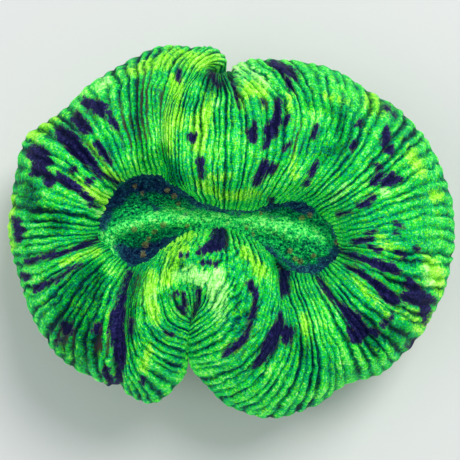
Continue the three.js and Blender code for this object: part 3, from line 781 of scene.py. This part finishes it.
class Graph:
    """A node material written as nested calls."""

    def __init__(self, name):
        self.material = bpy.data.materials.new(name)
        self.material.use_nodes = True
        self.tree = self.material.node_tree
        self.shader = self.tree.nodes["Principled BSDF"]

    def put(self, socket, value):
        if isinstance(value, bpy.types.NodeSocket):
            self.tree.links.new(value, socket)
        else:
            socket.default_value = value

    def node(self, kind, settings=None, inputs=None):
        node = self.tree.nodes.new(kind)
        for key, value in (settings or {}).items():
            setattr(node, key, value)
        for key, value in (inputs or {}).items():
            self.put(node.inputs[key], value)
        return node

    def attribute(self, name):
        return self.node("ShaderNodeAttribute", {"attribute_name": name}).outputs["Fac"]

    def place(self):
        return self.node("ShaderNodeTexCoord").outputs["Object"]

    def flow(self, across, along):
        """The ridge-following UV, stretched."""
        uv = self.node("ShaderNodeUVMap", {"uv_map": "flow"}).outputs["UV"]
        return self.node("ShaderNodeMapping", inputs={"Vector": uv, "Scale": (across, along, 1)}).outputs[0]

    def noise(self, vector, scale, detail=2.0, roughness=0.5, distortion=0.0):
        inputs = {"Vector": vector, "Scale": scale, "Detail": detail, "Roughness": roughness}
        inputs["Distortion"] = distortion
        return self.node("ShaderNodeTexNoise", inputs=inputs).outputs["Fac"]

    def math(self, operation, a, b=0.0, c=0.0):
        return self.node("ShaderNodeMath", {"operation": operation}, {0: a, 1: b, 2: c}).outputs[0]

    def add(self, *terms):
        total = terms[0]
        for term in terms[1:]:
            total = self.math("ADD", total, term)
        return total

    def scaled(self, value, low, high):
        """value from 0 to 1, carried to low to high."""
        return self.math("MULTIPLY_ADD", value, high - low, low)

    def step(self, value, low, high, to_low=0.0, to_high=1.0):
        inputs = {"Value": value, "From Min": low, "From Max": high, "To Min": to_low, "To Max": to_high}
        settings = {"interpolation_type": "SMOOTHSTEP", "clamp": True}
        return self.node("ShaderNodeMapRange", settings, inputs).outputs["Result"]

    def blend(self, share, a, b):
        node = self.node("ShaderNodeMix", {"data_type": "RGBA"})
        for index, value in ((0, share), (6, a), (7, b)):
            self.put(node.inputs[index], value)
        return node.outputs[2]

    def ramp(self, share, stops):
        node = self.node("ShaderNodeValToRGB", inputs={"Fac": share})
        elements = node.color_ramp.elements
        while len(elements) < len(stops):
            elements.new(0.5)
        for element, (position, colour) in zip(elements, stops):
            element.position = position
            element.color = colour
        return node.outputs["Color"]

    def bump(self, height, distance):
        inputs = {"Height": height, "Distance": distance, "Strength": 1.0}
        return self.node("ShaderNodeBump", inputs=inputs).outputs["Normal"]

    def finish(self, **sockets):
        for key, value in sockets.items():
            self.put(self.shader.inputs[key.replace("_", " ")], value)
        return self.material


# Colours of the flesh from the depth of a groove to the crest of a ridge; the dark groove end is painted
# shade and the bright crest end painted highlight.
GREENS = [(0.0, rgb(0, 34, 16)), (0.25, rgb(0, 92, 30)), (0.5, rgb(2, 158, 36)), (0.75, rgb(20, 212, 40)),
          (1.0, rgb(104, 248, 60))]
TEALS = [(0.0, rgb(0, 28, 52)), (0.25, rgb(0, 76, 80)), (0.5, rgb(0, 138, 106)), (0.75, rgb(18, 192, 124)),
         (1.0, rgb(110, 238, 150))]
LIMES = [(0.0, rgb(10, 50, 10)), (0.25, rgb(38, 112, 12)), (0.5, rgb(88, 186, 14)), (0.75, rgb(144, 232, 22)),
         (1.0, rgb(200, 255, 70))]
MINTS = [(0.0, rgb(14, 74, 40)), (0.25, rgb(52, 144, 70)), (0.5, rgb(106, 210, 92)),
         (0.75, rgb(160, 246, 118)), (1.0, rgb(215, 255, 180))]
NAVIES = [(0.1, rgb(3, 10, 36)), (0.5, rgb(18, 19, 60)), (0.95, rgb(46, 46, 100))]
# The glow is painted light: it stands in for the tissue's fluorescence under blue lamps and flattens the
# shading.
FLESH_GLOW, DISC_GLOW = 0.38, 0.46   # how much of their own colour they give off, as fluorescent tissue does


def flesh_patterns(g):
    """The noises, from 0 to 1, and the markings that the flesh's colours share."""
    place = g.place()
    marks = {name: g.attribute(name) for name in ("ridge", "dark", "lime", "mint", "shade", "rusty", "under")}
    return SimpleNamespace(
        fibre=g.noise(g.flow(2.0, 0.24), 1.0, 3.0, 0.6),          # streaks that run along the ridges
        thread=g.noise(g.flow(5.0, 1.3), 1.0, 2.0, 0.6, 0.5),     # short threads along them
        bar=g.noise(g.flow(0.9, 5.0), 1.0, 2.0, 0.6, 0.3),        # fine bars across them
        hue=g.noise(g.flow(1.7, 0.5), 1.0, 4.0, 0.7, 0.3),        # long areas of one green
        grain=g.noise(place, 4200.0, 2.0, 0.6),
        spark=g.noise(place, 3300.0, 2.0, 0.7),                   # specks of bluer and yellower green
        cloud=g.noise(place, 170.0, 3.0, 0.55),
        **marks)


def flesh_level(g, p):
    """How bright the flesh is, from about 0 in a dark groove to 1 on a bright crest; the dark grooves are
    painted shade and the bright crests painted highlight.
    """
    level = g.add(
        g.scaled(g.step(p.ridge, 0.1, 0.9), 0.0, 0.54), g.scaled(p.bar, -0.32, 0.32),
        g.scaled(p.grain, -0.38, 0.38), g.scaled(p.thread, -0.44, 0.44), g.scaled(p.fibre, -0.30, 0.30),
        g.scaled(p.cloud, -0.42, 0.42), 0.13)
    # Painted shade where marked, and a painted highlight on the sharpest crests.
    return g.add(
        level, g.math("MULTIPLY", p.mint, 0.14), g.math("MULTIPLY", p.lime, 0.06),
        g.math("MULTIPLY", p.shade, -0.36), g.step(p.ridge, 0.7, 1.0, 0.0, 0.08))


def green_flesh(g, p, level):
    """Green mixed with teal, turning to lime, mint and rust where those are marked."""
    # The painted shade also makes the green less teal.
    teal = g.add(
        g.scaled(p.hue, 0.2, 0.8), g.scaled(p.cloud, 0.15, -0.15), g.scaled(p.spark, -1.1, 1.1),
        g.math("MULTIPLY", p.shade, -0.08), g.scaled(level, 0.10, -0.10))
    colour = g.blend(g.step(teal, 0.36, 0.80), g.ramp(level, GREENS), g.ramp(level, TEALS))
    flecks = g.add(p.hue, g.scaled(p.fibre, -0.35, 0.35), g.scaled(p.spark, -0.4, 0.4))
    torn = g.add(g.scaled(p.fibre, -1.1, 1.1), g.scaled(p.thread, -0.8, 0.8), g.scaled(p.cloud, -1.0, 1.0))
    gold = g.step(flecks, 0.42, 0.22, 0.0, 0.7)
    gold = g.math("MAXIMUM", gold, g.step(g.add(p.lime, torn), 0.35, 0.95, 0.0, 0.75))
    colour = g.blend(gold, colour, g.ramp(level, LIMES))
    # Painted highlight: glints on the brightest grain and threads. The mint places, partly painted highlight,
    # pale the same way.
    glint = g.step(g.add(p.grain, p.thread, level), 1.85, 2.25, 0.0, 0.4)
    pale = g.math("MAXIMUM", glint, g.step(g.add(p.mint, torn), 0.4, 1.1, 0.0, 0.8))
    colour = g.blend(pale, colour, g.ramp(level, MINTS))
    rust = g.step(g.add(p.ridge, g.scaled(p.fibre, -1.2, 1.2)), 1.0, 0.1, 0.0, 0.34)
    return g.blend(g.math("MULTIPLY", rust, p.rusty), colour, rgb(104, 80, 56))


def with_dark_patches(g, p, level, colour):
    """Navy patches with ragged, thinly coloured rims."""
    ragged = g.add(
        p.dark, g.scaled(p.fibre, -0.9, 0.9), g.scaled(p.thread, -0.8, 0.8), g.scaled(p.bar, -0.3, 0.3),
        g.scaled(p.cloud, -0.7, 0.7))
    edge = g.step(ragged, -0.42, -0.12, 0.0, 0.7)
    core = g.step(ragged, -0.16, -0.02)
    rim = g.blend(g.step(p.hue, 0.4, 0.6), rgb(84, 38, 70), rgb(8, 60, 48))
    # The patches follow the painted groove shade and crest highlight, and are lighter on the crests.
    tone = g.add(g.scaled(level, -0.1, 0.5), g.scaled(p.bar, -0.4, 0.6), g.scaled(p.thread, -0.4, 0.6))
    return g.blend(core, g.blend(edge, colour, rim), g.ramp(tone, NAVIES))


def flesh_material():
    g = Graph("flesh")
    p = flesh_patterns(g)
    level = flesh_level(g, p)
    colour = with_dark_patches(g, p, level, green_flesh(g, p, level))
    # Painted shade under the overhanging flesh: the underside turns dark dull green towards the foot.
    colour = g.blend(g.step(p.under, 0.5, 0.9, 0.0, 0.7), colour, rgb(24, 66, 40))
    height = g.add(g.math("MULTIPLY", p.bar, 0.7), g.math("MULTIPLY", p.grain, 0.7), p.thread)
    return g.finish(
        Base_Color=colour, Roughness=0.6, Specular_IOR_Level=0.05,
        Emission_Color=colour, Emission_Strength=FLESH_GLOW, Normal=g.bump(height, 0.0002))


def disc_material():
    g = Graph("disc")
    place = g.place()
    grain = g.noise(place, 1900.0, 2.0, 0.65)
    fine = g.noise(place, 4200.0, 1.0, 0.5)
    level = g.add(g.scaled(grain, -0.7, 0.9), g.scaled(fine, -0.45, 0.5), 0.30)
    # Lighter on the pale midrib; darker where the floor sinks below the border, as painted shade.
    level = g.add(level, g.math("MULTIPLY", g.attribute("pale"), 0.28),
                  g.math("MULTIPLY", g.attribute("deep"), -0.16))
    colour = g.ramp(level, [
        (0.0, rgb(1, 26, 40)), (0.25, rgb(1, 76, 56)), (0.5, rgb(6, 146, 70)),
        (0.75, rgb(40, 210, 84)), (1.0, rgb(140, 252, 130))])
    gold = g.step(g.noise(place, 1100.0, 2.0), 0.52, 0.68, 0.0, 0.6)
    colour = g.blend(g.math("MULTIPLY", gold, g.attribute("pale")), colour, g.ramp(level, MINTS))
    cloud = g.noise(place, 420.0, 3.0, 0.6)
    # Navy, part the floor's own colour and part painted shadow under the ridge ends.
    murk = g.add(g.attribute("navy_and_shadow"), g.scaled(grain, -1.1, 1.1), g.scaled(cloud, -1.1, 1.1))
    deep = g.step(murk, 0.36, 0.72, 0.0, 0.9)
    navy_and_shadow = g.ramp(level, [
        (0.0, rgb(3, 6, 34)), (0.3, rgb(14, 26, 70)), (0.6, rgb(24, 52, 92)), (1.0, rgb(46, 140, 112))])
    colour = g.blend(deep, colour, navy_and_shadow)
    knob = g.add(g.attribute("knob"), g.scaled(grain, -0.7, 0.7), g.scaled(cloud, -0.8, 0.8))
    knob = g.step(knob, 0.3, 0.9, 0.0, 0.6)
    rust = g.ramp(fine, [(0.3, rgb(50, 60, 44)), (0.5, rgb(104, 98, 54)), (0.7, rgb(150, 134, 72))])
    colour = g.blend(knob, colour, rust)
    return g.finish(
        Base_Color=colour, Roughness=0.6, Specular_IOR_Level=0.06,
        Emission_Color=colour, Emission_Strength=DISC_GLOW, Normal=g.bump(g.add(grain, fine), 0.00025))


def skeleton_material():
    g = Graph("skeleton")
    ridge = g.attribute("ridge")
    place = g.place()
    grain = g.noise(place, 1400.0, 3.0, 0.6)
    cloud = g.noise(place, 210.0, 3.0, 0.55)
    level = g.add(
        g.math("MULTIPLY", ridge, 0.45), g.scaled(grain, -0.2, 0.35), g.scaled(cloud, -0.2, 0.3), 0.2)
    colour = g.ramp(level, [
        (0.1, rgb(120, 104, 82)), (0.4, rgb(186, 170, 142)), (0.7, rgb(224, 212, 188)),
        (1.0, rgb(244, 236, 218))])
    colour = g.blend(g.step(cloud, 0.55, 0.72, 0.0, 0.55), colour, rgb(150, 108, 116))
    colour = g.blend(g.step(g.noise(place, 120.0, 2.0), 0.56, 0.7, 0.0, 0.4), colour, rgb(92, 112, 70))
    return g.finish(Base_Color=colour, Roughness=g.scaled(grain, 0.75, 0.95), Specular_IOR_Level=0.3,
                    Normal=g.bump(grain, 0.0003))


# ================================================================ stage
VIEW_TILT = math.radians(9.8)
LENS, SENSOR_WIDTH = 90.1, 36.0
CAMERA_AT = np.array([-0.153, -29.92, 187.23])   # APEX, to one more digit
FLOOR_HALF = 3.0                 # metres
AIM = (0.0, 0.0, 0.02)           # metres


def make_camera():
    """Looks down on the coral from APEX, tipped a little from straight down."""
    camera = bpy.data.objects.new("camera", bpy.data.cameras.new("camera"))
    camera.data.lens = LENS
    camera.data.sensor_width = SENSOR_WIDTH
    camera.data.clip_start = 0.01
    camera.location = CAMERA_AT * MM
    camera.rotation_euler = (VIEW_TILT, 0.0, 0.0)
    bpy.context.scene.collection.objects.link(camera)
    bpy.context.scene.camera = camera


def make_light(name, at, size, power):
    """A round lamp at a place in metres, turned towards AIM."""
    light = bpy.data.lights.new(name, "AREA")
    light.shape = "DISK"
    light.size = size
    light.energy = power
    lamp = bpy.data.objects.new(name, light)
    lamp.location = at
    direction = np.array(AIM) - np.array(at)
    pitch = math.atan2(math.hypot(direction[0], direction[1]), -direction[2])
    lamp.rotation_euler = (pitch, 0.0, math.atan2(-direction[0], direction[1]))
    bpy.context.scene.collection.objects.link(lamp)


def make_floor():
    mesh = bpy.data.meshes.new("floor")
    turns = ((-1, -1), (1, -1), (1, 1), (-1, 1))
    square = [(x * FLOOR_HALF, y * FLOOR_HALF, LOW[2] * MM) for x, y in turns]
    mesh.from_pydata(square, [], [(0, 1, 2, 3)])
    floor = bpy.data.objects.new("floor", mesh)
    g = Graph("floor")
    mesh.materials.append(g.finish(Base_Color=rgb(226, 226, 222), Roughness=0.8))
    bpy.context.scene.collection.objects.link(floor)


def make_world():
    world = bpy.data.worlds.new("studio")
    world.use_nodes = True
    background = world.node_tree.nodes["Background"]
    background.inputs["Color"].default_value = (0.86, 0.90, 1.0, 1.0)
    background.inputs["Strength"].default_value = 0.5
    bpy.context.scene.world = world


def place_piece(piece, material):
    piece.data.materials.append(material)
    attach(piece, "root")
    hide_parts("coral")


make_camera()
bpy.context.scene.view_settings.view_transform = "Standard"
make_light("key", (0.30, 0.34, 0.72), 0.4, 4.4)
make_light("fill", (-0.5, -0.2, 0.6), 0.6, 1.2)
make_world()
make_floor()

flesh = flesh_material()
for strip in make_flesh():
    place_piece(strip, flesh)
place_piece(make_disc(), disc_material())
place_piece(make_skeleton(), skeleton_material())
